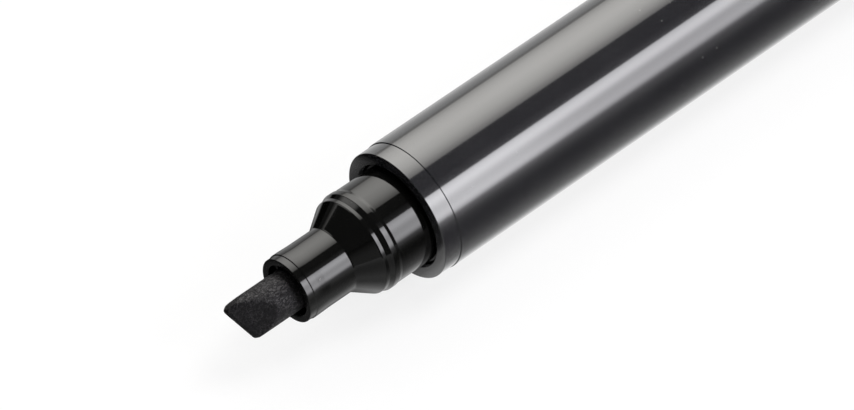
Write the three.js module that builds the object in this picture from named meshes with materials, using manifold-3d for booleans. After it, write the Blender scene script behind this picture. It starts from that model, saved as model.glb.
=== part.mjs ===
// A chisel-tip permanent marker lying on its side, its cap posted on the tail.
// Sizes are in millimetres. Every piece is turned about the marker's own axis, X: x = 0 is the
// front face of the barrel, the nib points towards -X and the tail towards +X. +Z is up.
import * as THREE from "three";
import { mergeVertices } from "three/addons/utils/BufferGeometryUtils.js";
import Module from "manifold-3d";

const degrees = Math.PI / 180;

// Roundness, and the gaps between neighbouring pieces
const roundSides = 48;
const arcStep = 30 * degrees;
const fitGap = 0.03;
const filmGap = 0.02;
const faceGap = 0.05;
const looseGap = 0.3;

// Barrel, with low ribs in its bore that hold the reservoir and let air past it
const barrelLength = 94.5;
const barrelRadius = 7.63;
const barrelWall = 1.5;
const barrelRim = 0.08;
const boreChamfer = 0.18;
const boreRibCount = 6;
const boreRibWidth = 0.9;
const boreRibHeight = 0.3;

// Printed film round the barrel
const labelThickness = 0.1;
const labelMargin = 2.25;

// Nozzle: the collar pressed into the barrel and the seat that the cap grips
const collarDepth = 9.5;
const collarInset = 0.6;
const seatStep = 0.29;
const seatLength = 6.54;
const nozzleWall = 1.1;
const shoulderDrop = 0.17;
const shoulderRound = 0.1;
const shoulderLand = 0.5;
const sealBeadHeight = 0.09;
const sealBeadInset = 1.05;
const sealBeadWidth = 0.65;
const sealBeadRamp = 0.4;

// Nozzle: the cone and the tube that holds the nib
const coneLength = 2.65;
const tubeLength = 6.38;
const tubeWall = 0.84;
const tubeLipLength = 0.72;
const tubeLipDrop = 0.06;
const tubeRidgeHeight = 0.05;
const tubeRidgeLength = 2.1;
const tubeEdge = 0.08;
const tubeBlend = 0.2;

// Ribs in the nozzle tube that grip the nib and let air past it
const gripRibCount = 6;
const gripRibWidth = 0.6;
const gripRibHeight = 0.615;
const gripRibInset = 0.7;
const gripRibRoll = 3 * degrees;

// Fibre nib, ground to a slanted chisel
const nibRadius = 2.425;
const nibReach = 6.68;
const nibTailReach = 14.5;
const nibTailChamfer = 0.5;
const nibRoll = 45 * degrees;
const chiselAngle = 29 * degrees;
const chiselSlant = 23 * degrees;
const chiselEdge = 0.9;
const chiselCorner = 0.8;
const chiselTaper = 0.25;
const chiselTaperLength = 2.8;

// Film wrapped round the fibre reservoir
const wrapThickness = 0.08;

// Tail plug, with a stub that is a second seat for the cap
const plugDepth = 8;
const plugWall = 1.1;
const plugFlange = 1.2;
const plugFlangeRound = 0.35;
const stubLength = 6.3;
const stubRound = 0.25;

// Seal liner inside the cap, which follows the nozzle's shape
const linerWall = 0.8;
const linerInset = 0.4;
const linerEdge = 0.2;
const linerSealGap = 0.08;
const linerTubeGap = 0.24;
const linerConeGap = 0.16;
const linerTipGap = 0.95;

// Cap shell, with ribs in its bore that centre the liner and stop its closed end
const capWall = 0.91;
const capDraft = 0.45;
const capMouthRound = 0.25;
const capCrownRoom = 11.5;
const capCrownWall = 1.3;
const capCrownRound = 1;
const capRibCount = 6;
const capRibWidth = 0.8;
const capRibInset = 1.2;
const capRibStop = 0.8;

// Clip, moulded in one with the cap shell
const clipLength = 29;
const clipWidth = 4.4;
const clipEndWidth = 3.6;
const clipThickness = 1.4;
const clipGap = 1.25;
const clipRootLength = 4.2;
const clipRootSetback = 0.5;
const clipRootBury = 0.5;
const clipBumpLength = 3.2;
const clipBumpGap = 0.35;

// Radii and lines along the axis that several pieces share
const barrelBore = barrelRadius - barrelWall;
const labelInnerRadius = barrelRadius + filmGap;
const labelRadius = labelInnerRadius + labelThickness;
const collarRadius = barrelBore - fitGap;
const seatRadius = barrelBore - seatStep;
const sealBeadRadius = seatRadius + sealBeadHeight;
const tubeBore = nibRadius + gripRibHeight;
const tubeRadius = tubeBore + tubeWall;
const tubeRidgeRadius = tubeRadius + tubeRidgeHeight;
const coneStart = -seatLength;
const tubeStart = coneStart - coneLength;
const tubeMouth = tubeStart - tubeLength;
const nibTip = tubeMouth - nibReach;
const wrapRadius = barrelBore - boreRibHeight - fitGap;
const reservoirRadius = wrapRadius - wrapThickness - filmGap;
const reservoirStart = collarDepth + looseGap;
const reservoirEnd = barrelLength - plugDepth - looseGap;
const linerBore = sealBeadRadius + linerSealGap;
const linerRadius = linerBore + linerWall;
const linerTubeBore = tubeRidgeRadius + linerTubeGap;
const linerTubeRadius = linerTubeBore + linerWall;
const linerSeatEnd = seatLength + linerConeGap;
const linerConeEnd = linerSeatEnd + coneLength;
const linerDepth = linerTipGap - nibTip;
const linerLength = linerDepth + linerWall;
const capBore = linerRadius + fitGap;
const capMouthRadius = capBore + capWall;
const capCrownRadius = capMouthRadius - capDraft;
const capDepth = linerLength + capCrownRoom;
const capLength = capDepth + capCrownWall;
const plugSeat = barrelLength + faceGap;
const capSeat = plugSeat + plugFlange + faceGap;

const wasm = await Module();
wasm.setup();

// The points of a line through the corners [along, across, fillet], with round fillets.
// A fillet is limited to half of the shorter side that meets it.
function filletedLine(corners, closed) {
  const points = [];
  const count = corners.length;
  corners.forEach(([along, across, fillet = 0], i) => {
    const here = new THREE.Vector2(along, across);
    const isEnd = !closed && (i === 0 || i === count - 1);
    if (fillet === 0 || isEnd) {
      points.push(here);
      return;
    }
    const back = new THREE.Vector2(...corners[(i + count - 1) % count]).sub(here);
    const ahead = new THREE.Vector2(...corners[(i + 1) % count]).sub(here);
    const bend = Math.PI - Math.acos(back.dot(ahead) / back.length() / ahead.length());
    const halfSide = Math.min(back.length(), ahead.length()) / 2;
    const reach = Math.min(fillet * Math.tan(bend / 2), halfSide);
    const radius = reach / Math.tan(bend / 2);
    const turn = Math.sign(back.cross(ahead)) * -bend;
    const start = here.clone().addScaledVector(back.normalize(), reach);
    const inward = back.clone().add(ahead.normalize()).normalize();
    const centre = here.clone().addScaledVector(inward, Math.hypot(reach, radius));
    const steps = Math.max(1, Math.ceil(bend / arcStep));
    for (let step = 0; step <= steps; step += 1) {
      points.push(start.clone().rotateAround(centre, (turn * step) / steps));
    }
  });
  return points;
}

// A solid turned about X from corners [x, radius, fillet]. They run towards +X on the outside
// and back along any bore, and either start and end on the axis or close on themselves.
// One flat of its many sides faces straight down.
function turned(corners) {
  const closed = corners[0][1] !== 0;
  const line = filletedLine(corners, closed);
  if (closed) line.push(line[0]);
  const profile = line.map((point) => new THREE.Vector2(point.y, point.x));
  const halfSide = Math.PI / roundSides;
  const geometry = new THREE.LatheGeometry(profile, roundSides, halfSide, 2 * Math.PI);
  return geometry.rotateZ(-Math.PI / 2);
}

// A slab of the outline [x, y, fillet], its thickness centred on the XY plane
function slab(corners, thickness) {
  const outline = new THREE.Shape(filletedLine(corners, true));
  const geometry = new THREE.ExtrudeGeometry(outline, { depth: thickness, bevelEnabled: false });
  return geometry.translate(0, 0, -thickness / 2);
}

// The same slab stood on edge: its outline is [x, z, fillet] and its thickness lies along Y.
const standingSlab = (corners, thickness) => slab(corners, thickness).rotateX(Math.PI / 2);

function toSolid(geometry) {
  const bare = geometry.index ? geometry.toNonIndexed() : geometry.clone();
  bare.deleteAttribute("normal");
  bare.deleteAttribute("uv");
  const merged = mergeVertices(bare, 1e-4);
  return new wasm.Manifold(
    new wasm.Mesh({
      numProp: 3,
      vertProperties: merged.attributes.position.array,
      triVerts: new Uint32Array(merged.index.array),
    }),
  );
}

function toGeometry(solid) {
  const mesh = solid.getMesh();
  const geometry = new THREE.BufferGeometry();
  geometry.setAttribute("position", new THREE.BufferAttribute(mesh.vertProperties, 3));
  geometry.setIndex(new THREE.BufferAttribute(mesh.triVerts, 1));
  return geometry;
}

const joined = (...geometries) => toGeometry(geometries.map(toSolid).reduce((a, b) => a.add(b)));
const common = (...geometries) =>
  toGeometry(geometries.map(toSolid).reduce((a, b) => a.intersect(b)));

// Copies of a rib that stands on the axis's +Z side, evenly spaced round the axis
function roundAxis(rib, count, roll = 0) {
  return Array.from({ length: count }, (_, i) =>
    rib.clone().rotateX(roll + (i * 2 * Math.PI) / count),
  );
}

// A straight rib along X on the axis's +Z side, between two radii
function straightRib(start, end, inner, outer, width) {
  const rib = new THREE.BoxGeometry(end - start, width, outer - inner);
  return rib.translate((start + end) / 2, 0, (inner + outer) / 2);
}

function piece(name, geometry, colour, roughness) {
  const material = new THREE.MeshStandardMaterial({ color: colour, roughness, metalness: 0 });
  const mesh = new THREE.Mesh(geometry, material);
  mesh.name = name;
  return mesh;
}

// The seat that the cap grips, from its free end at x = 0 to its root at x = length: a narrow
// land, then a low bead on which the cap's liner seals. The nozzle and the stub share it.
function capSeatCorners(length, endRound, endDrop) {
  const beadEnd = sealBeadInset + sealBeadWidth;
  return [
    [0, seatRadius - endDrop, endRound],
    [shoulderLand, seatRadius - endDrop],
    [sealBeadInset, sealBeadRadius],
    [beadEnd, sealBeadRadius],
    [beadEnd + sealBeadRamp, seatRadius],
    [length, seatRadius],
  ];
}

function makeBarrel() {
  const tube = turned([
    [0, barrelRadius, barrelRim],
    [barrelLength, barrelRadius, barrelRim],
    [barrelLength, barrelBore + boreChamfer],
    [barrelLength - boreChamfer, barrelBore],
    [boreChamfer, barrelBore],
    [0, barrelBore + boreChamfer],
  ]);
  const rib = straightRib(
    reservoirStart,
    reservoirEnd,
    barrelBore - boreRibHeight,
    barrelBore + barrelWall / 2,
    boreRibWidth,
  );
  return joined(tube, ...roundAxis(rib, boreRibCount));
}

function makeLabel() {
  return turned([
    [labelMargin, labelRadius],
    [barrelLength - labelMargin, labelRadius],
    [barrelLength - labelMargin, labelInnerRadius],
    [labelMargin, labelInnerRadius],
  ]);
}

function makeNozzle() {
  const lipRadius = tubeRadius - tubeLipDrop;
  const lipEnd = tubeMouth + tubeLipLength;
  const seatBore = seatRadius - nozzleWall;
  const seat = capSeatCorners(seatLength + collarInset, shoulderRound, shoulderDrop);
  const shell = turned([
    [tubeMouth, lipRadius, tubeEdge],
    [lipEnd, lipRadius],
    [lipEnd + tubeRidgeLength / 4, tubeRidgeRadius, tubeBlend],
    [lipEnd + tubeRidgeLength, tubeRadius],
    [tubeStart, tubeRadius, tubeBlend / 2],
    ...seat.map(([along, radius, fillet = 0]) => [coneStart + along, radius, fillet]),
    [collarInset, collarRadius, boreChamfer],
    [collarDepth, collarRadius, boreChamfer * 2],
    [collarDepth, seatBore],
    [coneStart, seatBore],
    [tubeStart, tubeBore],
    [tubeMouth + tubeBlend, tubeBore],
    [tubeMouth, tubeBore + tubeBlend],
  ]);
  const rib = straightRib(
    tubeMouth + gripRibInset,
    tubeStart - gripRibInset,
    nibRadius + fitGap,
    tubeBore + tubeWall / 2,
    gripRibWidth,
  );
  return joined(shell, ...roundAxis(rib, gripRibCount, gripRibRoll));
}

// The nib is a round rod met by two flats. Its own Z is square to the flats, and its own Y runs
// along the writing edge, which slants back towards -Y. The leading side tapers a little.
function makeNib() {
  const room = nibRadius;
  const halfSpan = nibRadius + room;
  const tail = nibTailReach + room;
  const wedgeEnd = nibTip + (halfSpan - chiselEdge / 2) / Math.tan(chiselAngle);
  const slope = Math.tan(chiselSlant);
  const leadRadius = nibRadius - chiselTaper;
  const leadTip = nibTip - slope * leadRadius;
  const slant = new THREE.Matrix4().makeShear(0, 0, -slope, 0, 0, 0);
  const rod = turned([
    [nibTip - room, 0],
    [nibTip - room, nibRadius],
    [nibTailReach, nibRadius, nibTailChamfer],
    [nibTailReach, 0],
  ]);
  const flats = standingSlab(
    [
      [nibTip, chiselEdge / 2, chiselEdge / 4],
      [wedgeEnd, halfSpan],
      [tail, halfSpan],
      [tail, -halfSpan],
      [wedgeEnd, -halfSpan],
      [nibTip, -chiselEdge / 2, chiselEdge / 4],
    ],
    2 * halfSpan,
  ).applyMatrix4(slant);
  const corners = slab(
    [
      [leadTip, leadRadius, chiselCorner],
      [leadTip + chiselTaperLength, nibRadius],
      [tail, nibRadius],
      [tail, -nibRadius],
      [nibTip + slope * nibRadius, -nibRadius, chiselCorner],
    ],
    2 * halfSpan,
  );
  return common(rod, flats, corners);
}

// A pocket in its front end takes the tail of the nib.
function makeReservoir() {
  const pocket = nibRadius + fitGap;
  const pocketEnd = nibTailReach + looseGap;
  return turned([
    [pocketEnd, 0],
    [pocketEnd, pocket],
    [reservoirStart, pocket],
    [reservoirStart, reservoirRadius],
    [reservoirEnd, reservoirRadius],
    [reservoirEnd, 0],
  ]);
}

function makeReservoirWrap() {
  return turned([
    [reservoirStart, wrapRadius],
    [reservoirEnd, wrapRadius],
    [reservoirEnd, wrapRadius - wrapThickness],
    [reservoirStart, wrapRadius - wrapThickness],
  ]);
}

// The plug's own x = 0 is the face of its flange that meets the barrel.
function makeTailPlug() {
  const stubEnd = plugFlange + stubLength;
  const stubBore = seatRadius - plugWall;
  const stub = capSeatCorners(stubLength, stubRound, 0)
    .map(([along, radius, fillet = 0]) => [stubEnd - along, radius, fillet])
    .reverse();
  return turned([
    [stubEnd - plugWall, 0],
    [stubEnd - plugWall, stubBore],
    [0, stubBore],
    [-plugDepth, collarRadius - plugWall],
    [-plugDepth, collarRadius, boreChamfer * 2],
    [0, collarRadius],
    [0, barrelRadius, plugFlangeRound],
    [plugFlange, barrelRadius, plugFlangeRound],
    ...stub,
    [stubEnd, 0],
  ]);
}

// The clip on the cap's +Z side: its root at the crown, its bump near the mouth. Its side view
// is cut to a plan that narrows towards the free end.
function makeClip() {
  const underside = capMouthRadius + clipGap;
  const top = underside + clipThickness;
  const bump = capMouthRadius + clipBumpGap;
  const bury = capCrownRadius - clipRootBury;
  const rootEnd = capLength - clipRootSetback;
  const rootStart = rootEnd - clipRootLength;
  const armEnd = rootEnd - clipLength;
  const side = standingSlab(
    [
      [rootEnd, bury],
      [rootEnd, top, clipThickness],
      [armEnd, top - clipThickness / 4, clipThickness / 3],
      [armEnd, bump + clipThickness / 3, clipThickness / 4],
      [armEnd + clipBumpLength / 2, bump, clipBumpLength / 4],
      [armEnd + clipBumpLength, underside, clipBumpLength / 4],
      [rootStart, underside, clipGap / 2],
      [rootStart, bury],
    ],
    2 * clipWidth,
  );
  const plan = slab(
    [
      [rootEnd + clipRootSetback, clipWidth / 2],
      [rootStart, clipWidth / 2],
      [armEnd, clipEndWidth / 2, clipEndWidth / 3],
      [armEnd, -clipEndWidth / 2, clipEndWidth / 3],
      [rootStart, -clipWidth / 2],
      [rootEnd + clipRootSetback, -clipWidth / 2],
    ],
    2 * (top + clipThickness),
  );
  return common(side, plan);
}

// The angle from straight down to the clip at which the clip and the cap both touch the table
function restingClipRoll() {
  const top = capMouthRadius + clipGap + clipThickness;
  const axisHeight = labelRadius * Math.cos(Math.PI / roundSides);
  const cornerReach = Math.hypot(top, clipWidth / 2);
  return Math.atan2(clipWidth / 2, top) + Math.acos(axisHeight / cornerReach);
}

// The ribs of the cap's bore step inwards behind the liner. They are cut to a core that ends
// halfway into the cap's wall.
function makeCapRibs() {
  const start = linerConeEnd + capRibInset;
  const step = linerLength + faceGap;
  const end = capDepth + capCrownWall / 2;
  const inner = linerTubeRadius + fitGap;
  const rib = standingSlab(
    [
      [start, inner],
      [step, inner],
      [step, inner - capRibStop],
      [end, inner - capRibStop],
      [end, capMouthRadius],
      [start, capMouthRadius],
    ],
    capRibWidth,
  );
  const core = turned([
    [0, 0],
    [0, capMouthRadius - capWall / 2],
    [end, capCrownRadius - capWall / 2],
    [end, 0],
  ]);
  return common(joined(...roundAxis(rib, capRibCount)), core);
}

// The cap's own x = 0 is its mouth.
function makeCapShell() {
  const cup = turned([
    [capDepth, 0],
    [capDepth, capCrownRadius - capWall, capCrownRound / 2],
    [linerSeatEnd + linerWall, capBore],
    [0, capBore],
    [0, capMouthRadius, capMouthRound],
    [capLength, capCrownRadius, capCrownRound],
    [capLength, 0],
  ]);
  const clip = makeClip().rotateX(Math.PI - restingClipRoll());
  return joined(cup, makeCapRibs(), clip);
}

function makeCapLiner() {
  return turned([
    [linerDepth, 0],
    [linerDepth, linerTubeBore, linerEdge],
    [linerConeEnd, linerTubeBore],
    [linerSeatEnd, linerBore],
    [linerInset + linerEdge, linerBore],
    [linerInset, linerBore + linerEdge],
    [linerInset, linerRadius],
    [linerSeatEnd + linerWall / 2, linerRadius],
    [linerConeEnd + linerWall / 2, linerTubeRadius],
    [linerLength, linerTubeRadius, linerEdge * 2],
    [linerLength, 0],
  ]);
}

const glossy = 0.12;
const satin = 0.35;
const fibrous = 0.9;
const black = 0x0c0c0d;
const charcoal = 0x2c2c30;
const inkBlack = 0x161518;
const paleGrey = 0x9c9ca0;

const barrel = piece("barrel", makeBarrel(), charcoal, glossy);
const label = piece("label_film", makeLabel(), charcoal, glossy);
const nozzle = piece("nozzle", makeNozzle(), black, glossy);
const nib = piece("nib", makeNib(), inkBlack, fibrous);
nib.rotation.x = nibRoll;
const reservoir = piece("ink_reservoir", makeReservoir(), inkBlack, fibrous);
const reservoirWrap = piece("reservoir_wrap", makeReservoirWrap(), paleGrey, satin);
const tailPlug = piece("tail_plug", makeTailPlug(), black, glossy);
tailPlug.position.x = plugSeat;

const cap = new THREE.Group();
cap.add(piece("cap_shell", makeCapShell(), black, glossy));
cap.add(piece("cap_liner", makeCapLiner(), paleGrey, satin));
cap.position.x = capSeat;

const marker = new THREE.Group();
marker.add(barrel, label, nozzle, nib, reservoir, reservoirWrap, tailPlug, cap);

// The origin is under the middle of the marker, on the table that it lies on.
marker.updateMatrixWorld(true);
const extent = new THREE.Box3().setFromObject(marker, true);
const middle = extent.getCenter(new THREE.Vector3());
marker.position.set(-middle.x, -middle.y, -extent.min.z);

export default marker;
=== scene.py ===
import bpy
import bmesh
import math
from mathutils import Matrix, Vector


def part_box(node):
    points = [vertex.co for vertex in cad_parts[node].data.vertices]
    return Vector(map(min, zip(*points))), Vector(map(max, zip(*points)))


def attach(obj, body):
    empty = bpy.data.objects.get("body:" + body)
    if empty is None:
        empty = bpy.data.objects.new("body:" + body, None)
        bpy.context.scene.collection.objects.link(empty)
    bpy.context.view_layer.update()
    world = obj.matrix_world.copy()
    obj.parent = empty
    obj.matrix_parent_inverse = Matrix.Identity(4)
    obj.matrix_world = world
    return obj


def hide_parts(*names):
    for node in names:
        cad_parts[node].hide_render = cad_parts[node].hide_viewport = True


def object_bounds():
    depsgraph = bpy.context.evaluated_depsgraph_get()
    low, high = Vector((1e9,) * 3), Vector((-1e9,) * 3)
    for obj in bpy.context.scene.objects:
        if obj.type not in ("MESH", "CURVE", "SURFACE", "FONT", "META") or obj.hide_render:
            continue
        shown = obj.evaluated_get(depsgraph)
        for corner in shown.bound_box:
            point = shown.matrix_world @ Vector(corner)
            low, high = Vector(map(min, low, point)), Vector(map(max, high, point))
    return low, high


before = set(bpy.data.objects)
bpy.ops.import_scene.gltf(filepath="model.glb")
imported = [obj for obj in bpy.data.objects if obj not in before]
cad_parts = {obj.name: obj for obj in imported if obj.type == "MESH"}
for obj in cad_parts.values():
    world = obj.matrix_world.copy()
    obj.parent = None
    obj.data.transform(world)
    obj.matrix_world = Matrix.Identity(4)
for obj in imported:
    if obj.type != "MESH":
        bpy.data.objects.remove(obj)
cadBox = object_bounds()
print("frame loaded:", len(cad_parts), "nodes")

# The marker lies along X. Sizes in the dictionaries are in mm and degrees, and "along" is
# measured from the middle of the barrel's front face, towards the tail.
mm = 0.001
barrelLow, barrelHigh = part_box("barrel")
centreY = (barrelLow.y + barrelHigh.y) / 2
centreZ = (barrelLow.z + barrelHigh.z) / 2
faceMiddle = Vector((barrelLow.x, centreY, centreZ))
tableHeight = cadBox[0].z
mergeGap = 0.001 * mm


# ---- modelling steps that several pieces share
def sidePoint(along, height, across=0):
    return faceMiddle + Vector((along, across, height)) * mm


# selects, in edit mode, the vertices that lie at the points
def pickPoints(points):
    bpy.ops.mesh.select_mode(type="VERT")
    bpy.ops.mesh.select_all(action="DESELECT")
    mesh = bpy.context.edit_object.data
    shape = bmesh.from_edit_mesh(mesh)
    for corner in shape.verts:
        if any((corner.co - point).length < mergeGap for point in points):
            corner.select_set(True)
    shape.select_flush_mode()
    bmesh.update_edit_mesh(mesh)


# a new piece of a single vertex, left in edit mode
def startPiece(name, place):
    bpy.ops.object.select_all(action="DESELECT")
    bpy.ops.mesh.primitive_plane_add(size=mm, location=place)
    piece = bpy.context.object
    piece.name = piece.data.name = name
    bpy.ops.object.transform_apply(location=True, rotation=True, scale=True)
    bpy.ops.object.mode_set(mode="EDIT")
    bpy.ops.mesh.select_mode(type="VERT")
    bpy.ops.mesh.merge(type="CENTER")
    return piece


# moves an outline's corners along the marker
def shiftLine(corners, shift):
    return [(shift + along, *rest) for along, *rest in corners]


# draws corners (along, height, rounding) above the axis, one extrusion at a time, in edit mode
def drawLine(name, corners, closed):
    points = [sidePoint(*corner[:2]) for corner in corners]
    piece = startPiece(name, points[0])
    for here, ahead in zip(points, points[1:]):
        bpy.ops.mesh.extrude_region_move(TRANSFORM_OT_translate={"value": ahead - here})
    if closed:
        pickPoints([points[0], points[-1]])
        bpy.ops.mesh.edge_face_add()
    for point, corner in zip(points, corners):
        if len(corner) > 2:
            pickPoints([point])
            bpy.ops.mesh.bevel(offset=corner[2] * mm, segments=5, affect="VERTICES")
    return piece


# a line that closes on itself makes a tube, and one with both ends on the axis a full round
def turnPiece(name, corners, sides=192):
    piece = drawLine(name, corners, closed=corners[0][1] > 0)
    bpy.ops.mesh.select_all(action="SELECT")
    bpy.ops.mesh.spin(
        steps=sides, angle=2 * math.pi, center=faceMiddle, axis=(1, 0, 0), use_auto_merge=True
    )
    bpy.ops.mesh.select_all(action="SELECT")
    bpy.ops.mesh.remove_doubles(threshold=mergeGap)
    bpy.ops.mesh.normals_make_consistent(inside=False)
    bpy.ops.object.mode_set(mode="OBJECT")
    return piece


# a closed outline, thickened evenly to both sides of the upright plane through the axis
def cutSlab(name, corners, width):
    piece = drawLine(name, corners, closed=True)
    bpy.ops.mesh.select_all(action="SELECT")
    bpy.ops.mesh.edge_face_add()
    bpy.ops.mesh.extrude_region_move(TRANSFORM_OT_translate={"value": (0, width * mm, 0)})
    bpy.ops.mesh.select_all(action="SELECT")
    bpy.ops.transform.translate(value=(0, -width * mm / 2, 0))
    bpy.ops.mesh.normals_make_consistent(inside=False)
    return piece


# takes off what lies outside a plane, in edit mode; "outwards" has a length of 1
def cutOff(place, outwards):
    bpy.ops.mesh.select_all(action="SELECT")
    bpy.ops.mesh.bisect(
        plane_co=place,
        plane_no=outwards,
        use_fill=True,
        clear_outer=True,
        threshold=mergeGap / 10,
    )


# turns what is selected round the marker's axis, from +Z towards -Y
def rollSelected(angle):
    bpy.ops.transform.rotate(
        value=-math.radians(angle), orient_axis="X", center_override=faceMiddle
    )


def applyModifier(piece, kind, **settings):
    bpy.ops.object.select_all(action="DESELECT")
    piece.select_set(True)
    bpy.context.view_layer.objects.active = piece
    modifier = piece.modifiers.new(kind.title(), kind)
    for name, value in settings.items():
        setattr(modifier, name, value)
    bpy.ops.object.modifier_apply(modifier=modifier.name)


def fuse(piece, addition):
    applyModifier(piece, "BOOLEAN", operation="UNION", solver="EXACT", object=addition)
    bpy.data.objects.remove(addition)


# one rib is shaped, then copied round the axis and joined to its piece
def addRibs(piece, corners, width, edge, count, roll=0):
    ribs = cutSlab(piece.name + "Ribs", corners, width)
    bpy.ops.mesh.select_mode(type="EDGE")
    bpy.ops.mesh.select_all(action="SELECT")
    bpy.ops.mesh.bevel(offset=edge * mm, segments=2, affect="EDGES")
    bpy.ops.mesh.select_all(action="SELECT")
    rollSelected(roll)
    for _ in range(count - 1):
        bpy.ops.mesh.duplicate()
        rollSelected(360 / count)
    bpy.ops.object.mode_set(mode="OBJECT")
    fuse(piece, ribs)


def finishPiece(piece, material, body, node, sharpAngle=32):
    bpy.ops.object.select_all(action="DESELECT")
    piece.select_set(True)
    bpy.context.view_layer.objects.active = piece
    bpy.ops.object.shade_smooth_by_angle(angle=math.radians(sharpAngle))
    applyModifier(piece, "WEIGHTED_NORMAL", keep_sharp=True)
    piece.data.materials.clear()
    piece.data.materials.append(material)
    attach(piece, body)
    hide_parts(node)
    print("made", piece.name, len(piece.data.polygons), "faces")


# ---- shader helpers
# an input given as another node's output is linked to it
def addNode(tree, kind, inputs=None, **settings):
    node = tree.nodes.new("ShaderNode" + kind)
    for name, value in settings.items():
        setattr(node, name, value)
    for name, value in (inputs or {}).items():
        if isinstance(value, bpy.types.NodeSocket):
            tree.links.new(value, node.inputs[name])
        else:
            node.inputs[name].default_value = value
    return node


def addMath(tree, operation, first, second=0.0):
    return addNode(tree, "Math", {0: first, 1: second}, operation=operation).outputs[0]


def remap(tree, value, fromLow, fromHigh, toLow=0.0, toHigh=1.0):
    inputs = {
        "Value": value,
        "From Min": fromLow,
        "From Max": fromHigh,
        "To Min": toLow,
        "To Max": toHigh,
    }
    return addNode(tree, "MapRange", inputs, interpolation_type="SMOOTHSTEP").outputs[0]


# a level that follows a value through the stops (value, level)
def addFade(tree, value, stops):
    low, high = stops[0][0], stops[-1][0]
    share = addMath(tree, "DIVIDE", addMath(tree, "SUBTRACT", value, low), high - low)
    ramp = addNode(tree, "ValToRGB", {"Fac": share})
    marks = ramp.color_ramp.elements
    while len(marks) < len(stops):
        marks.new(0.5)
    for mark, (place, level) in zip(marks, stops):
        mark.position = (place - low) / (high - low)
        mark.color = (level, level, level, 1.0)
    return ramp.outputs["Color"]


def addNoise(tree, place, scale, detail, distortion=0.0):
    inputs = {"Vector": place, "Scale": scale, "Detail": detail, "Distortion": distortion}
    return addNode(tree, "TexNoise", inputs).outputs[0]


# the place squeezed along the marker, so that a pattern on it is drawn out that way
def squeeze(tree, place, share):
    shares = addNode(tree, "CombineXYZ", {"X": share, "Y": 1.0, "Z": 1.0}).outputs[0]
    return addNode(tree, "VectorMath", {0: place, 1: shares}, operation="MULTIPLY").outputs[0]


def mixColours(tree, share, first, second):
    return addNode(tree, "Mix", {0: share, 6: first, 7: second}, data_type="RGBA").outputs[2]


def addBump(tree, look, height):
    inputs = {"Strength": look["bump"], "Distance": look["bumpDepth"] * mm, "Height": height}
    return addNode(tree, "Bump", inputs).outputs[0]


# places a shared effect in a finish, which may give it values of its own
def addEffect(tree, group, place, **values):
    return addNode(tree, "Group", {"Place": place, **values}, node_tree=group).outputs


def newGroup(name, inputs, outputs):
    group = bpy.data.node_groups.new(name, "ShaderNodeTree")
    for socketName, value in inputs.items():
        kind = "NodeSocketVector" if value is None else "NodeSocketFloat"
        socket = group.interface.new_socket(name=socketName, in_out="INPUT", socket_type=kind)
        if value is not None:
            socket.default_value = value
    for socketName in outputs:
        group.interface.new_socket(
            name=socketName, in_out="OUTPUT", socket_type="NodeSocketFloat"
        )
    start = group.nodes.new("NodeGroupInput")
    end = group.nodes.new("NodeGroupOutput")
    return group, start.outputs, end.inputs


def newMaterial(name):
    material = bpy.data.materials.new(name)
    material.use_nodes = True
    tree = material.node_tree
    tree.nodes.clear()
    return material, tree


def closeMaterial(tree, shader):
    addNode(tree, "OutputMaterial", {"Surface": shader})


# the piece's own place, with the marker's axis and the barrel's front face at zero
def markerPlace(tree):
    coordinates = addNode(tree, "TexCoord").outputs["Object"]
    return addNode(tree, "Mapping", {"Vector": coordinates, "Location": -faceMiddle}).outputs[0]


# ---- effects that several finishes share
# the slow waves and the fine grain that a mould leaves in glossy plastic
def makeMouldSkin():
    group, given, result = newGroup(
        "MouldSkin",
        {"Place": None, "Wave Scale": 160.0, "Grain Scale": 2600.0, "Grain Share": 0.1},
        ["Height", "Mottle"],
    )
    wave = addNoise(group, given["Place"], given["Wave Scale"], 1.0)
    grain = addNoise(group, given["Place"], given["Grain Scale"], 2.0)
    mixed = addNode(
        group, "Mix", {0: given["Grain Share"], 2: wave, 3: grain}, data_type="FLOAT"
    ).outputs[0]
    group.links.new(mixed, result["Height"])
    group.links.new(remap(group, wave, 0.35, 0.7), result["Mottle"])
    return group


# sparse dust specks and hairline scratches that run mostly along the marker
def makeHandlingMarks():
    group, given, result = newGroup(
        "HandlingMarks",
        {"Place": None, "Speck Scale": 900.0, "Scratch Scale": 1500.0, "Scratch Stretch": 0.03},
        ["Specks", "Scratches"],
    )
    place = given["Place"]
    cells = addNode(group, "TexVoronoi", {"Vector": place, "Scale": given["Speck Scale"]}).outputs
    chance = addNode(group, "SeparateColor", {"Color": cells["Color"]}).outputs[0]
    rare = addMath(group, "GREATER_THAN", chance, 0.93)  # one cell in fourteen holds a speck
    near = remap(group, cells["Distance"], 0.05, 0.16, 1.0, 0.0)
    group.links.new(addMath(group, "MULTIPLY", rare, near), result["Specks"])
    drawn = squeeze(group, place, given["Scratch Stretch"])
    lines = remap(group, addNoise(group, drawn, given["Scratch Scale"], 1.0), 0.66, 0.74)
    patches = remap(group, addNoise(group, place, 90.0, 1.0), 0.5, 0.65)
    group.links.new(addMath(group, "MULTIPLY", lines, patches), result["Scratches"])
    return group


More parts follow.
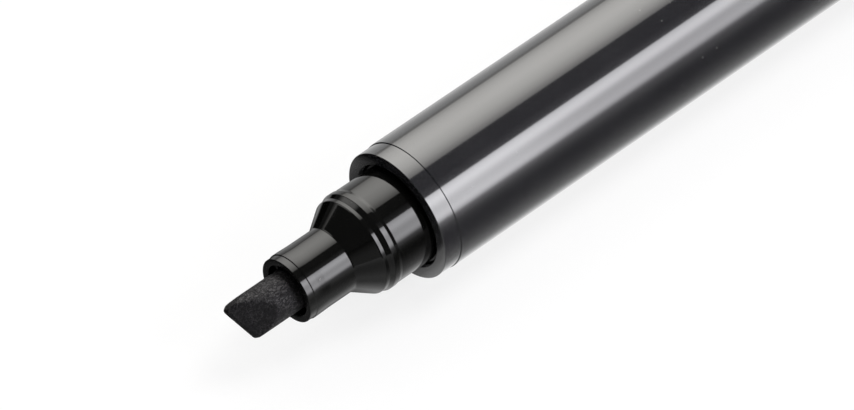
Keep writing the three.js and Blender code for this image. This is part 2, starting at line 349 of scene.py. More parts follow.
# fibres laid along the marker, pressed and bonded, with small pores between them, and a painted
# sheen that lightens the fibres
def makePressedFibre():
    group, given, result = newGroup(
        "PressedFibre",
        {"Place": None, "Fibre Scale": 7000.0, "Fibre Stretch": 0.5, "Pore Scale": 3200.0},
        ["Height", "ToneAndSheen"],
    )
    place = given["Place"]
    drawn = squeeze(group, place, given["Fibre Stretch"])
    fibres = addNoise(group, drawn, given["Fibre Scale"], 3.0, distortion=0.6)
    pores = addNoise(group, place, given["Pore Scale"], 3.0)
    patches = remap(group, addNoise(group, place, 900.0, 2.0), 0.28, 0.55)
    height = addMath(group, "ADD", fibres, remap(group, pores, 0.3, 0.5, -0.5, 0.0))
    group.links.new(height, result["Height"])
    # partly the fibres' own tone and partly painted sheen on them
    toneAndSheen = addMath(group, "MULTIPLY", remap(group, fibres, 0.48, 0.58), patches)
    group.links.new(toneAndSheen, result["ToneAndSheen"])
    return group


mouldSkin = makeMouldSkin()
handlingMarks = makeHandlingMarks()
pressedFibre = makePressedFibre()


# ---- finishes
dustColour = (0.32, 0.31, 0.29, 1.0)
dustDullness = 0.5
pureWhite = (1.0, 1.0, 1.0, 1.0)


def makePlastic(name, look):
    material, tree = newMaterial(name)
    place = markerPlace(tree)
    ownSkin = {"Wave Scale": look["waveScale"], "Grain Share": look["grainShare"]}
    skin = addEffect(tree, mouldSkin, place, **ownSkin)
    marks = addEffect(tree, handlingMarks, place)
    plain = mixColours(tree, skin["Mottle"], look["colour"], look["mottleColour"])
    dust = addMath(tree, "MULTIPLY", marks["Specks"], look["dust"])
    rubbed = addMath(tree, "MULTIPLY", marks["Scratches"], look["scratches"])
    dull = addMath(tree, "ADD", rubbed, addMath(tree, "MULTIPLY", dust, dustDullness))
    shader = addNode(
        tree,
        "BsdfPrincipled",
        {
            "Base Color": mixColours(tree, dust, plain, dustColour),
            "Roughness": addMath(tree, "ADD", dull, look["roughness"]),
            "IOR": look["ior"],
            "Coat Weight": look["coat"],
            "Coat Roughness": look["coatRoughness"],
            "Coat IOR": look["coatIor"],
            "Normal": addBump(tree, look, skin["Height"]),
        },
    )
    closeMaterial(tree, shader.outputs[0])
    return material


def makeFibre(name, look):
    material, tree = newMaterial(name)
    place = markerPlace(tree)
    ownFibre = {"Fibre Scale": look["fibreScale"], "Fibre Stretch": look["fibreStretch"]}
    fibre = addEffect(tree, pressedFibre, place, **ownFibre)
    # nearer the axis than the rod's own skin, the fibre has been ground smooth, and carries less
    # painted sheen
    reach = addNode(
        tree, "VectorMath", {0: squeeze(tree, place, 0.0)}, operation="LENGTH"
    ).outputs["Value"]
    skinFrom, skinTo = [radius * mm for radius in look["skin"]]
    coarse = remap(tree, reach, skinFrom, skinTo, look["groundShare"], 1.0)
    toneAndSheen = addMath(tree, "MULTIPLY", fibre["ToneAndSheen"], coarse)
    shine = addMath(tree, "MULTIPLY", toneAndSheen, look["wetShine"])
    height = addMath(tree, "MULTIPLY", fibre["Height"], coarse)
    shader = addNode(
        tree,
        "BsdfPrincipled",
        {
            # the lighter colour is partly fibre tone and partly painted sheen
            "Base Color": mixColours(tree, toneAndSheen, look["colour"], look["litColour"]),
            "Roughness": addMath(tree, "SUBTRACT", look["roughness"], shine),
            "IOR": look["ior"],
            "Normal": addBump(tree, look, height),
        },
    )
    closeMaterial(tree, shader.outputs[0])
    return material


barrelPlastic = makePlastic("BarrelPlastic", {
    "colour": (0.016, 0.016, 0.018, 1.0),
    "mottleColour": (0.019, 0.019, 0.021, 1.0),
    "roughness": 0.09,
    "ior": 1.5,
    "coat": 1.0,
    "coatRoughness": 0.04,
    "coatIor": 1.5,
    "waveScale": 150.0,
    "grainShare": 0.08,
    "bump": 0.25,
    "bumpDepth": 0.02,
    "dust": 0.16,
    "scratches": 0.05,
})
labelFilm = makePlastic("LabelFilm", {
    "colour": (0.015, 0.015, 0.017, 1.0),
    "mottleColour": (0.018, 0.018, 0.020, 1.0),
    "roughness": 0.11,
    "ior": 1.5,
    "coat": 1.0,
    "coatRoughness": 0.05,
    "coatIor": 1.5,
    "waveScale": 110.0,
    "grainShare": 0.12,
    "bump": 0.35,
    "bumpDepth": 0.02,
    "dust": 0.16,
    "scratches": 0.06,
})
blackPlastic = makePlastic("BlackPlastic", {
    "colour": (0.0020, 0.0020, 0.0018, 1.0),
    "mottleColour": (0.0026, 0.0026, 0.0024, 1.0),
    "roughness": 0.07,
    "ior": 1.48,
    "coat": 0.0,
    "coatRoughness": 0.04,
    "coatIor": 1.5,
    "waveScale": 190.0,
    "grainShare": 0.08,
    "bump": 0.3,
    "bumpDepth": 0.02,
    "dust": 0.14,
    "scratches": 0.05,
})
linerPlastic = makePlastic("LinerPlastic", {
    "colour": (0.32, 0.32, 0.34, 1.0),
    "mottleColour": (0.36, 0.36, 0.38, 1.0),
    "roughness": 0.36,
    "ior": 1.5,
    "coat": 0.0,
    "coatRoughness": 0.3,
    "coatIor": 1.5,
    "waveScale": 220.0,
    "grainShare": 0.4,
    "bump": 0.3,
    "bumpDepth": 0.02,
    "dust": 0.2,
    "scratches": 0.1,
})
nibFibre = makeFibre("NibFibre", {
    "colour": (0.0028, 0.0022, 0.0034, 1.0),
    "litColour": (0.031, 0.029, 0.031, 1.0),
    "skin": (2.15, 2.36),
    "groundShare": 0.5,
    "fibreScale": 5500.0,
    "fibreStretch": 0.6,
    "roughness": 0.62,
    "ior": 1.45,
    "wetShine": 0.22,
    "bump": 1.0,
    "bumpDepth": 0.11,
})
reservoirFibre = makeFibre("ReservoirFibre", {
    "colour": (0.006, 0.006, 0.01, 1.0),
    "litColour": (0.03, 0.03, 0.04, 1.0),
    "skin": (2.0, 5.0),
    "groundShare": 0.7,
    "fibreScale": 3600.0,
    "fibreStretch": 0.12,
    "roughness": 0.7,
    "ior": 1.45,
    "wetShine": 0.2,
    "bump": 0.9,
    "bumpDepth": 0.08,
})


# clear film that lies in small wrinkles, a little thicker where they rise
wrapLook = {
    "colour": (0.46, 0.46, 0.49, 1.0),
    "mottleColour": (0.56, 0.56, 0.58, 1.0),
    "waveScale": 420.0,
    "leastAlpha": 0.35,
    "mostAlpha": 0.55,
    "roughness": 0.18,
    "ior": 1.5,
    "bump": 0.6,
    "bumpDepth": 0.05,
}


def makeWrapFilm(look):
    material, tree = newMaterial("WrapFilm")
    place = markerPlace(tree)
    skin = addEffect(tree, mouldSkin, place, **{"Wave Scale": look["waveScale"]})
    alpha = remap(tree, skin["Height"], 0.3, 0.7, look["leastAlpha"], look["mostAlpha"])
    shader = addNode(
        tree,
        "BsdfPrincipled",
        {
            "Base Color": mixColours(tree, skin["Mottle"], look["colour"], look["mottleColour"]),
            "Roughness": look["roughness"],
            "IOR": look["ior"],
            "Alpha": alpha,
            "Normal": addBump(tree, look, skin["Height"]),
        },
    )
    closeMaterial(tree, shader.outputs[0])
    return material


wrapFilm = makeWrapFilm(wrapLook)
print("finishes ready")

# ---- barrel and its film
barrelSizes = {
    "length": 94.5,
    "radius": 7.65,
    "bore": 6.13,
    "rim": 0.08,
    "boreChamfer": 0.18,
    "ribStart": 9.8,
    "ribEnd": 86.2,
    "ribHeight": 0.3,
    "ribRoot": 0.5,
    "ribWidth": 0.9,
    "ribEdge": 0.08,
    "ribCount": 6,
}


def makeBarrel(size):
    length, bore, chamfer = size["length"], size["bore"], size["boreChamfer"]
    barrel = turnPiece("Barrel", [
        (0, size["radius"], size["rim"]),
        (length, size["radius"], size["rim"]),
        (length, bore + chamfer),
        (length - chamfer, bore),
        (chamfer, bore),
        (0, bore + chamfer),
    ])
    start, end = size["ribStart"], size["ribEnd"]
    inner, root = bore - size["ribHeight"], bore + size["ribRoot"]
    ribLine = [(start, inner), (end, inner), (end, root), (start, root)]
    addRibs(barrel, ribLine, size["ribWidth"], size["ribEdge"], size["ribCount"])
    finishPiece(barrel, barrelPlastic, "marker", "barrel")


makeBarrel(barrelSizes)

labelSizes = {"margin": 2.25, "inner": 7.655, "radius": 7.745, "edge": 0.03}


def makeLabel(size):
    start, end = size["margin"], barrelSizes["length"] - size["margin"]
    label = turnPiece("LabelFilm", [
        (start, size["radius"], size["edge"]),
        (end, size["radius"], size["edge"]),
        (end, size["inner"]),
        (start, size["inner"]),
    ])
    finishPiece(label, labelFilm, "marker", "label_film")


makeLabel(labelSizes)

# ---- nozzle
nozzleSizes = {
    "seatRadius": 5.84,
    "seatLength": 6.54,
    "shoulderDrop": 0.17,
    "shoulderRound": 0.1,
    "shoulderLand": 0.5,
    "landRound": 0.05,
    "beadRadius": 5.93,
    "beadInset": 1.05,
    "beadWidth": 0.65,
    "beadRamp": 0.4,
    "beadRound": 0.08,
    "wall": 1.1,
    "collarInset": 0.6,
    "collarRadius": 6.1,
    "collarDepth": 9.5,
    "collarRound": 0.1,
    "collarEndRound": 0.36,
    "seatBoreRound": 0.3,
    "tubeStart": -9.19,
    "tubeMouth": -15.57,
    "tubeRadius": 3.88,
    "tubeBore": 3.04,
    "tubeEdge": 0.08,
    "tubeRootRound": 0.12,
    "tubeBoreRound": 0.2,
    "boreEdge": 0.2,
    "lipDrop": 0.04,
    "lipLength": 0.86,
    "lipRound": 0.02,
    "ridgeHeight": 0.05,
    "ridgeStep": 0.05,
    "ridgeLength": 2.1,
    "ridgeRound": 0.3,
    "ribHeight": 0.585,
    "ribRoot": 0.4,
    "ribWidth": 0.6,
    "ribEdge": 0.07,
    "ribInset": 0.7,
    "ribCount": 6,
    "ribRoll": -3,
}


# the rounded shoulder and sealing bead of a cap seat, from its free end at 0 to its root
def seatLine(size, length, endDrop, endRound):
    seat, bead = size["seatRadius"], size["beadRadius"]
    beadEnd = size["beadInset"] + size["beadWidth"]
    return [
        (0, seat - endDrop, endRound),
        (size["shoulderLand"], seat - endDrop, size["landRound"]),
        (size["beadInset"], bead, size["beadRound"]),
        (beadEnd, bead, size["beadRound"]),
        (beadEnd + size["beadRamp"], seat, size["beadRound"]),
        (length, seat),
    ]


def makeNozzle(size):
    mouth, tubeStart, coneStart = size["tubeMouth"], size["tubeStart"], -size["seatLength"]
    lip = size["tubeRadius"] - size["lipDrop"]
    lipEnd = mouth + size["lipLength"]
    ridge = size["tubeRadius"] + size["ridgeHeight"]
    seatBore = size["seatRadius"] - size["wall"]
    seatEnd = size["seatLength"] + size["collarInset"]
    seat = seatLine(size, seatEnd, size["shoulderDrop"], size["shoulderRound"])
    nozzle = turnPiece("Nozzle", [
        (mouth, lip, size["tubeEdge"]),
        (lipEnd, lip, size["lipRound"]),
        (lipEnd + size["ridgeStep"], ridge, size["lipRound"]),
        (lipEnd + size["ridgeLength"] / 3, ridge, size["ridgeRound"]),
        (lipEnd + size["ridgeLength"], size["tubeRadius"], size["ridgeRound"]),
        (tubeStart, size["tubeRadius"], size["tubeRootRound"]),
        *shiftLine(seat, coneStart),
        (size["collarInset"], size["collarRadius"], size["collarRound"]),
        (size["collarDepth"], size["collarRadius"], size["collarEndRound"]),
        (size["collarDepth"], seatBore),
        (coneStart, seatBore, size["seatBoreRound"]),
        (tubeStart, size["tubeBore"], size["tubeBoreRound"]),
        (mouth, size["tubeBore"], size["boreEdge"]),
    ])
    start, end = mouth + size["ribInset"], tubeStart - size["ribInset"]
    inner, root = size["tubeBore"] - size["ribHeight"], size["tubeBore"] + size["ribRoot"]
    ribLine = [(start, inner), (end, inner), (end, root), (start, root)]
    edge, count, roll = size["ribEdge"], size["ribCount"], size["ribRoll"]
    addRibs(nozzle, ribLine, size["ribWidth"], edge, count, roll)
    finishPiece(nozzle, blackPlastic, "marker", "nozzle")


makeNozzle(nozzleSizes)

# ---- nib: a round fibre rod, ground by many passes to a slanted chisel
nibSizes = {
    "radius": 2.425,
    "sides": 128,
    "tip": -22.24,
    "tail": 14.5,
    "tailChamfer": 0.5,
    "roll": -45,
    "flatAngle": 29,
    "slant": 21.5,
    "edge": 0.9,
    "leadCorner": 0.32,
    "trailCorner": 0.52,
    "cornerPasses": 7,
    "taper": 0.36,
    "taperLength": 2.6,
    "voxel": 0.1,
    "lumps": 0.022,
    "lumpSize": 0.55,
    "sharpAngle": 60,
}


def makeNib(size):
    radius, tip = size["radius"], size["tip"]
    nib = turnPiece("Nib", [
        (tip - radius, 0),
        (tip - radius, radius),
        (size["tail"], radius, size["tailChamfer"]),
        (size["tail"], 0),
    ], size["sides"])
    flat = math.tan(math.radians(size["flatAngle"]))
    slant = math.radians(size["slant"])
    slope = math.tan(slant)
    turn = Matrix.Rotation(-math.radians(size["roll"]), 3, "X")

    # each pass takes off what lies outside a plane of the nib, whose own Z is square to its flats
    def grind(place, outwards):
        cutOff(faceMiddle + turn @ Vector(place) * mm, turn @ Vector(outwards).normalized())

    bpy.ops.object.mode_set(mode="EDIT")
    for side in (1, -1):
        grind((tip, 0, side * size["edge"] / 2), (-flat, -flat * slope, side))
    grind((tip, 0, 0), (-1, -slope, 0))
    lead = radius - size["taper"]
    leadTip = tip - lead * slope
    grind((leadTip, lead, 0), (-size["taper"], size["taperLength"], 0))
    for side, reach, corner, turnBy in (
        (1, lead, size["leadCorner"], 90 + size["slant"]),
        (-1, radius, size["trailCorner"], 90 - size["slant"]),
    ):
        middleY = side * (reach - corner)
        middleX = tip + corner / math.cos(slant) - middleY * slope
        for step in range(1, size["cornerPasses"]):
            angle = side * math.radians(turnBy) * step / size["cornerPasses"]
            out = Vector((-math.cos(slant), -math.sin(slant), 0))
            out.rotate(Matrix.Rotation(-angle, 3, "Z"))
            grind(Vector((middleX, middleY, 0)) + out * corner, out)
    bpy.ops.object.mode_set(mode="OBJECT")
    applyModifier(nib, "REMESH", mode="VOXEL", voxel_size=size["voxel"] * mm)
    bpy.ops.object.mode_set(mode="EDIT")
    bpy.ops.mesh.select_all(action="SELECT")
    bpy.ops.mesh.vertices_smooth(factor=0.5, repeat=3)
    bpy.ops.object.mode_set(mode="OBJECT")
    lumps = bpy.data.textures.new("FibreLumps", "CLOUDS")
    lumps.noise_scale = size["lumpSize"] * mm
    applyModifier(
        nib, "DISPLACE", texture=lumps, texture_coords="LOCAL", strength=size["lumps"] * mm
    )
    finishPiece(nib, nibFibre, "marker", "nib", size["sharpAngle"])


makeNib(nibSizes)

# ---- tail plug, whose stub is a second seat for the cap
plugSizes = {
    "seat": 94.55,
    "depth": 8,
    "wall": 1.1,
    "bottomRound": 0.4,
    "boreRound": 0.3,
    "collarEndRound": 0.36,
    "flange": 1.2,
    "flangeRound": 0.35,
    "stubLength": 6.3,
    "stubRound": 0.25,
}


def makeTailPlug(size):
    collar, seatRadius = nozzleSizes["collarRadius"], nozzleSizes["seatRadius"]
    stubEnd = size["flange"] + size["stubLength"]
    stubBore = seatRadius - size["wall"]
    stub = seatLine(nozzleSizes, size["stubLength"], 0, size["stubRound"])
    corners = [
        (stubEnd - size["wall"], 0),
        (stubEnd - size["wall"], stubBore, size["bottomRound"]),
        (0, stubBore, size["boreRound"]),
        (-size["depth"], collar - size["wall"]),
        (-size["depth"], collar, size["collarEndRound"]),
        (0, collar),
        (0, barrelSizes["radius"], size["flangeRound"]),
        (size["flange"], barrelSizes["radius"], size["flangeRound"]),
        *[(stubEnd - along, *rest) for along, *rest in reversed(stub)],
        (stubEnd, 0),
    ]
    plug = turnPiece("TailPlug", shiftLine(corners, size["seat"]))
    finishPiece(plug, blackPlastic, "marker", "tail_plug")


makeTailPlug(plugSizes)

# ---- cap liner, which follows the shape of the nozzle
linerSizes = {
    "seat": 95.8,
    "inset": 0.4,
    "edge": 0.2,
    "bore": 6.01,
    "radius": 6.81,
    "seatEnd": 6.7,
    "coneEnd": 9.35,
    "tubeBore": 4.17,
    "tubeRadius": 4.97,
    "depth": 23.2,
    "length": 24.0,
    "outerShift": 0.4,
    "bottomRound": 0.3,
    "stepRound": 0.2,
    "mouthRound": 0.05,
    "rimRound": 0.1,
    "endRound": 0.4,
}


def makeLiner(size):
    corners = [
        (size["depth"], 0),
        (size["depth"], size["tubeBore"], size["bottomRound"]),
        (size["coneEnd"], size["tubeBore"], size["stepRound"]),
        (size["seatEnd"], size["bore"], size["stepRound"]),
        (size["inset"] + size["edge"], size["bore"], size["mouthRound"]),
        (size["inset"], size["bore"] + size["edge"], size["mouthRound"]),
        (size["inset"], size["radius"], size["rimRound"]),
        (size["seatEnd"] + size["outerShift"], size["radius"], size["stepRound"]),
        (size["coneEnd"] + size["outerShift"], size["tubeRadius"], size["stepRound"]),
        (size["length"], size["tubeRadius"], size["endRound"]),
        (size["length"], 0),
    ]
    liner = turnPiece("CapLiner", shiftLine(corners, size["seat"]))
    finishPiece(liner, linerPlastic, "cap", "cap_liner")


makeLiner(linerSizes)

# ---- cap shell, its inner ribs and its clip
capSizes = {
    "seat": 95.8,
    "bore": 6.84,
    "mouthRadius": 7.75,
    "crownRadius": 7.3,
    "wall": 0.91,
    "mouthRound": 0.25,
    "mouthEdge": 0.1,
    "boreRound": 0.3,
    "bottomRound": 0.5,
    "depth": 35.5,
    "length": 36.8,
    "crownRound": 0.8,
    "draftStart": 7.5,
    "gateRadius": 0.9,
    "gateDepth": 0.15,
    "gateDraft": 0.2,
    "gateRound": 0.05,
    "ribStart": 10.55,
    "ribStep": 24.05,
    "ribInner": 5.0,
    "ribStop": 0.8,
    "ribBury": 0.65,
    "ribWidth": 0.8,
    "ribEdge": 0.08,
    "ribCount": 6,
}
clipSizes = {
    "length": 29,
    "width": 4.4,
    "endWidth": 3.6,
    "thickness": 1.4,
    "gap": 1.25,
    "rootLength": 4.2,
    "rootSetback": 0.5,
    "rootBury": 0.5,
    "bumpLength": 3.2,
    "bumpGap": 0.35,
    "edge": 0.22,
}


# the angle from straight down to the clip at which the clip and the cap both touch the table
def restingClipRoll(clip, cap):
    top = cap["mouthRadius"] + clip["gap"] + clip["thickness"]
    axisHeight = (centreZ - tableHeight) / mm
    cornerReach = math.hypot(top, clip["width"] / 2)
    return math.degrees(math.atan2(clip["width"] / 2, top) + math.acos(axisHeight / cornerReach))


def makeClip(clip, cap):
    underside = cap["mouthRadius"] + clip["gap"]
    top = underside + clip["thickness"]
    bump = cap["mouthRadius"] + clip["bumpGap"]
    bury = cap["crownRadius"] - clip["rootBury"]
    rootEnd = cap["length"] - clip["rootSetback"]
    rootStart = rootEnd - clip["rootLength"]
    armEnd = rootEnd - clip["length"]
    thickness, bumpLength = clip["thickness"], clip["bumpLength"]
    corners = [
        (rootEnd, bury),
        (rootEnd, top, thickness),
        (armEnd, top - thickness / 4, thickness / 3),
        (armEnd, bump + thickness / 3, thickness / 4),
        (armEnd + bumpLength / 2, bump, bumpLength / 6),
        (armEnd + bumpLength, underside, bumpLength / 6),
        (rootStart, underside, clip["gap"] / 2),
        (rootStart, bury),
    ]
    solid = cutSlab("Clip", shiftLine(corners, cap["seat"]), clip["width"])
    # the arm's two sides are cut to a plan that narrows towards the free end
    armLength = rootStart - armEnd
    narrowing = (clip["width"] - clip["endWidth"]) / 2
    for side in (1, -1):
        place = sidePoint(cap["seat"] + rootStart, 0, side * clip["width"] / 2)
        cutOff(place, Vector((-narrowing, side * armLength, 0)).normalized())
    bpy.ops.object.mode_set(mode="OBJECT")
    applyModifier(
        solid,
        "BEVEL",
        width=clip["edge"] * mm,
        segments=3,
        limit_method="ANGLE",
        angle_limit=math.radians(50),
    )
    bpy.ops.object.mode_set(mode="EDIT")
    bpy.ops.mesh.select_all(action="SELECT")
    rollSelected(180 - restingClipRoll(clip, cap))
    bpy.ops.object.mode_set(mode="OBJECT")
    return solid


def makeCap(cap, clip):
    seat, length, wall = cap["seat"], cap["length"], cap["wall"]
    gateEnd = length - cap["gateDepth"]
    corners = [
        (cap["depth"], 0),
        (cap["depth"], cap["crownRadius"] - wall, cap["bottomRound"]),
        (cap["draftStart"], cap["bore"], cap["boreRound"]),
        (0, cap["bore"], cap["mouthEdge"]),
        (0, cap["mouthRadius"], cap["mouthRound"]),
        (length, cap["crownRadius"], cap["crownRound"]),
        (length, cap["gateRadius"], cap["gateRound"]),
        (gateEnd, cap["gateRadius"] - cap["gateDraft"], cap["gateRound"]),
        (gateEnd, 0),
    ]
    shell = turnPiece("CapShell", shiftLine(corners, seat))
    start, step, end = cap["ribStart"], cap["ribStep"], cap["depth"] + cap["ribBury"]
    inner, stop = cap["ribInner"], cap["ribInner"] - cap["ribStop"]
    slope = (cap["mouthRadius"] - cap["crownRadius"]) / length
    root = cap["mouthRadius"] - wall / 2
    ribCorners = [
        (start, inner),
        (step, inner),
        (step, stop),
        (end, stop),
        (end, root - slope * end),
        (start, root - slope * start),
    ]
    ribLine = shiftLine(ribCorners, seat)
    addRibs(shell, ribLine, cap["ribWidth"], cap["ribEdge"], cap["ribCount"])
    fuse(shell, makeClip(clip, cap))
    finishPiece(shell, blackPlastic, "cap", "cap_shell")


makeCap(capSizes, clipSizes)

# ---- the ink reservoir and its wrap keep their CAD shapes
for name, material in (("ink_reservoir", reservoirFibre), ("reservoir_wrap", wrapFilm)):
    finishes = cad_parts[name].data.materials
    finishes.clear()
    finishes.append(material)
print("reservoir finished")

# ---- the table, which shows white, keeps the marker's soft shadow, and shows a painted reflection in the gloss
# the painted reflection's brightness in the gloss is listed below, by distance from the marker's
# axis along Y
tableLook = {
    "size": 6.0,
    "colour": (0.85, 0.85, 0.85, 1.0),
    "ownWhite": 0.82,
    "paintedReflection": [
        (-300, 0.34), (-150, 0.25), (-90, 0.17), (-50, 0.07), (-30, 0.05), (-22, 0.08),
        (-16, 0.18), (-12, 0.32), (-9, 0.45), (-7.5, 0.65), (-5, 0.9), (-4, 0.8),
        (-2.5, 0.25), (0, 0.1), (12, 0.08), (16, 0.3), (20, 0.6), (50, 0.6), (90, 0.58),
    ],
    "dimBefore": (-13, -9),
    "dimSlant": 0.25,
    "dimSide": (8, 14),
    "litBefore": (-9, -16),
    "litSlant": 0.48,
    "litSide": (-14, -9),
    "litLevel": 0.25,
}


def makeTable(look):
    bpy.ops.object.select_all(action="DESELECT")
    tableZ = centreZ - labelSizes["radius"] * mm
    bpy.ops.mesh.primitive_plane_add(size=look["size"], location=(0, 0, tableZ))
    table = bpy.context.object
    table.name = "Table"
    material, tree = newMaterial("TableTop")
    paths = addNode(tree, "LightPath").outputs
    seen = addMath(tree, "MAXIMUM", paths["Is Camera Ray"], paths["Is Transmission Ray"])
    white = addNode(tree, "Emission", {"Color": pureWhite, "Strength": 1.0}).outputs[0]
    lit = addNode(tree, "BsdfDiffuse", {"Color": look["colour"]}).outputs[0]
    share = addMath(tree, "MULTIPLY", seen, look["ownWhite"])
    plain = addNode(tree, "MixShader", {0: share, 1: lit, 2: white}).outputs[0]
    along, aside = addNode(tree, "SeparateXYZ", {"Vector": markerPlace(tree)}).outputs[:2]

    # a level that changes between two places, which are given in mm
    def between(value, places, *levels):
        return remap(tree, value, *[place * mm for place in places], *levels)

    # painted reflection: in front of the cone the far side is painted dark
    inFront = addMath(tree, "SUBTRACT", along, addMath(tree, "MULTIPLY", aside, look["dimSlant"]))
    front = between(inFront, look["dimBefore"])
    close = between(aside, look["dimSide"], 1.0, 0.0)
    undimmed = addMath(tree, "MAXIMUM", front, close)
    stops = [(place * mm, level) for place, level in look["paintedReflection"]]
    dimmed = addMath(tree, "MULTIPLY", addFade(tree, aside, stops), undimmed)
    # and the near side of the painted reflection is painted lighter there
    nearTip = addMath(tree, "ADD", along, addMath(tree, "MULTIPLY", aside, look["litSlant"]))
    tipGlow = between(nearTip, look["litBefore"], 0.0, look["litLevel"])
    nearSide = between(aside, look["litSide"], 1.0, 0.0)
    level = addMath(tree, "ADD", dimmed, addMath(tree, "MULTIPLY", tipGlow, nearSide))
    # painted reflection: glossy rays see the table glow at these levels instead of its lit surface
    paintedReflection = addNode(tree, "Emission", {"Color": pureWhite, "Strength": level})
    inGloss = paths["Is Glossy Ray"]
    surface = addNode(tree, "MixShader", {0: inGloss, 1: plain, 2: paintedReflection.outputs[0]})
    # the table can be looked through from below
    below = addNode(tree, "NewGeometry").outputs["Backfacing"]
    clear = addNode(tree, "BsdfTransparent").outputs[0]
    oneWay = addNode(tree, "MixShader", {0: below, 1: surface.outputs[0], 2: clear})
    closeMaterial(tree, oneWay.outputs[0])
    table.data.materials.append(material)


makeTable(tableLook)

# ---- four curved soft lights hang beside and above the marker, and the rest of the room is dim
# "fade" gives their level by the angle from straight up towards -Y. "lengthFade" dims the side past
# the angles "fadedSide" by the distance in m past the barrel's front face, and the rest by a share
farPanel = {
    "name": "FarPanel",
    "radius": 0.8,
    "near": 0.12,
    "far": 0.8,
    "strength": 3.9,
    "colour": (1.0, 0.985, 0.95, 1.0),
    "fade": [
        (-89.5, 0.12), (-84.5, 0.12), (-82, 0.3), (-77, 0.41), (-69, 0.6), (-62, 0.74),
        (-55, 0.86), (-49, 0.95), (-43, 1.0), (-37, 0.985), (-31, 0.97), (-26, 0.92),
        (-20.5, 0.81), (-15.3, 0.68), (-10.3, 0.5), (-6, 0.36), (-4.2, 0.25),
    ],
}
nearPanel = {
    "name": "NearPanel",
    "radius": 0.8,
    "near": 0.12,
    "far": 0.57,
    "strength": 7.8,
    "colour": (0.97, 0.965, 1.0, 1.0),
    "fade": [
        (19, 0.0), (21, 0.01), (24.5, 0.02), (30, 0.03), (34, 0.06), (35.5, 0.75),
        (38, 0.89), (42.5, 1.02), (46, 1.06), (50, 0.99), (55, 0.83), (60, 0.76),
        (66, 0.79), (71, 0.84), (75, 0.75), (79, 0.48), (82, 0.2), (85, 0.11), (90, 0.07),
    ],
    "lengthFade": [(0.412, 1.0), (0.425, 0.92), (0.437, 0.7), (0.46, 0.65)],
    "fadedSide": (48, 60),
    "fadedRest": 0.45,
}
# the next two are mirrored in the faces that look towards the tip: the seat's shoulder and the cone
shoulderPanel = {
    "name": "ShoulderPanel",
    "radius": 0.8,
    "near": -0.3,
    "far": -0.05,
    "strength": 1.8,
    "colour": (1.0, 0.985, 0.96, 1.0),
    "fade": [(-80, 0.0), (-75, 0.2), (-71, 0.45), (-65, 0.85), (-55, 1.0), (-35, 0.9), (-26, 0.2)],
}
conePanel = {
    "name": "ConePanel",
    "radius": 0.8,
    "near": -1.0,
    "far": -0.4,
    "strength": 0.3,
    "colour": (1.0, 1.0, 0.98, 1.0),
    "fade": [(44, 0.0), (56, 0.4), (67, 0.75), (78, 0.86), (89, 0.85)],
}
panelSteps = 40
# lights the table and the marker's own colours evenly, and isn't mirrored in the gloss
fillLight = {"place": (0.55, -0.15, 1.15), "size": 0.8, "power": 19.0}
roomLook = {"glow": 0.06}


def makePanel(look):
    stops = [(math.radians(angle), level) for angle, level in look["fade"]]
    start, span = stops[0][0], stops[-1][0] - stops[0][0]
    arm = Vector((0, -math.sin(start), math.cos(start))) * look["radius"]
    panel = startPiece(look["name"], (look["near"], centreY + arm.y, centreZ + arm.z))
    width = look["far"] - look["near"]
    bpy.ops.mesh.extrude_region_move(TRANSFORM_OT_translate={"value": (width, 0, 0)})
    bpy.ops.mesh.select_all(action="SELECT")
    bpy.ops.mesh.spin(steps=panelSteps, angle=-span, center=faceMiddle, axis=(1, 0, 0))
    bpy.ops.object.mode_set(mode="OBJECT")
    material, tree = newMaterial(look["name"] + "Glow")
    parts = addNode(tree, "SeparateXYZ", {"Vector": markerPlace(tree)}).outputs
    angle = addMath(tree, "ARCTAN2", addMath(tree, "MULTIPLY", parts["Y"], -1.0), parts["Z"])
    level = addFade(tree, angle, stops)
    if "lengthFade" in look:
        loss = addMath(tree, "SUBTRACT", 1.0, addFade(tree, parts["X"], look["lengthFade"]))
        bounds = [math.radians(bound) for bound in look["fadedSide"]]
        side = remap(tree, angle, *bounds, look["fadedRest"], 1.0)
        kept = addMath(tree, "SUBTRACT", 1.0, addMath(tree, "MULTIPLY", loss, side))
        level = addMath(tree, "MULTIPLY", level, kept)
    strength = addMath(tree, "MULTIPLY", level, look["strength"])
    glow = addNode(tree, "Emission", {"Color": look["colour"], "Strength": strength})
    closeMaterial(tree, glow.outputs[0])
    panel.data.materials.append(material)
    panel.visible_camera = False


for panelLook in (farPanel, nearPanel, shoulderPanel, conePanel):
    makePanel(panelLook)


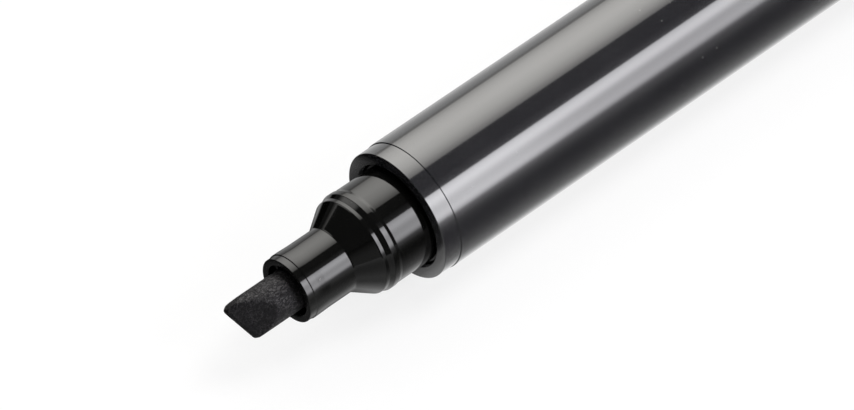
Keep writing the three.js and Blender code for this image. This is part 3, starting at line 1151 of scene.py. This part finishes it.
def makeFill(look):
    place = Vector(look["place"])
    bpy.ops.object.select_all(action="DESELECT")
    bpy.ops.object.light_add(type="AREA", location=place)
    lamp = bpy.context.object
    lamp.name = "FillLight"
    lamp.rotation_euler = (place - faceMiddle).to_track_quat("Z", "Y").to_euler()
    lamp.data.size = look["size"]
    lamp.data.energy = look["power"]
    lamp.visible_glossy = False


makeFill(fillLight)


def makeRoom(look):
    world = bpy.data.worlds.new("Room")
    bpy.context.scene.world = world
    world.use_nodes = True
    tree = world.node_tree
    tree.nodes.clear()
    seen = addNode(tree, "LightPath").outputs["Is Camera Ray"]
    strength = addMath(tree, "MAXIMUM", seen, look["glow"])
    glow = addNode(tree, "Background", {"Color": pureWhite, "Strength": strength})
    addNode(tree, "OutputWorld", {"Surface": glow.outputs[0]})


makeRoom(roomLook)
print("table and lights ready")

# ---- camera: its place follows from the pixel on which the barrel's front face falls
cameraLook = {
    "azimuth": -42.2,
    "elevation": 48.6,
    "distance": 0.728,
    "lens": 290,
    "clipStart": 0.01,
    "clipEnd": 50,
    "imageWidth": 854,
    "imageHeight": 410,
    "faceColumn": 396.9,
    "faceRow": 216.2,
}


def makeCamera(look):
    azimuth, elevation = math.radians(look["azimuth"]), math.radians(look["elevation"])
    back = Vector((
        math.sin(azimuth) * math.cos(elevation),
        -math.cos(azimuth) * math.cos(elevation),
        math.sin(elevation),
    ))
    right = Vector((math.cos(azimuth), math.sin(azimuth), 0))
    up = back.cross(right)
    bpy.ops.object.select_all(action="DESELECT")
    bpy.ops.object.camera_add()
    camera = bpy.context.object
    camera.data.lens = look["lens"]
    pixel = camera.data.sensor_width / look["lens"] / look["imageWidth"] * look["distance"]
    aside = (look["faceColumn"] - look["imageWidth"] / 2) * pixel
    above = (look["imageHeight"] / 2 - look["faceRow"]) * pixel
    camera.location = faceMiddle + back * look["distance"] - right * aside - up * above
    camera.rotation_mode = "QUATERNION"
    camera.rotation_quaternion = Matrix((right, up, back)).transposed().to_quaternion()
    camera.data.clip_start = look["clipStart"]
    camera.data.clip_end = look["clipEnd"]
    bpy.context.scene.camera = camera


makeCamera(cameraLook)
bpy.context.scene.view_settings.view_transform = "Standard"
print("camera ready")
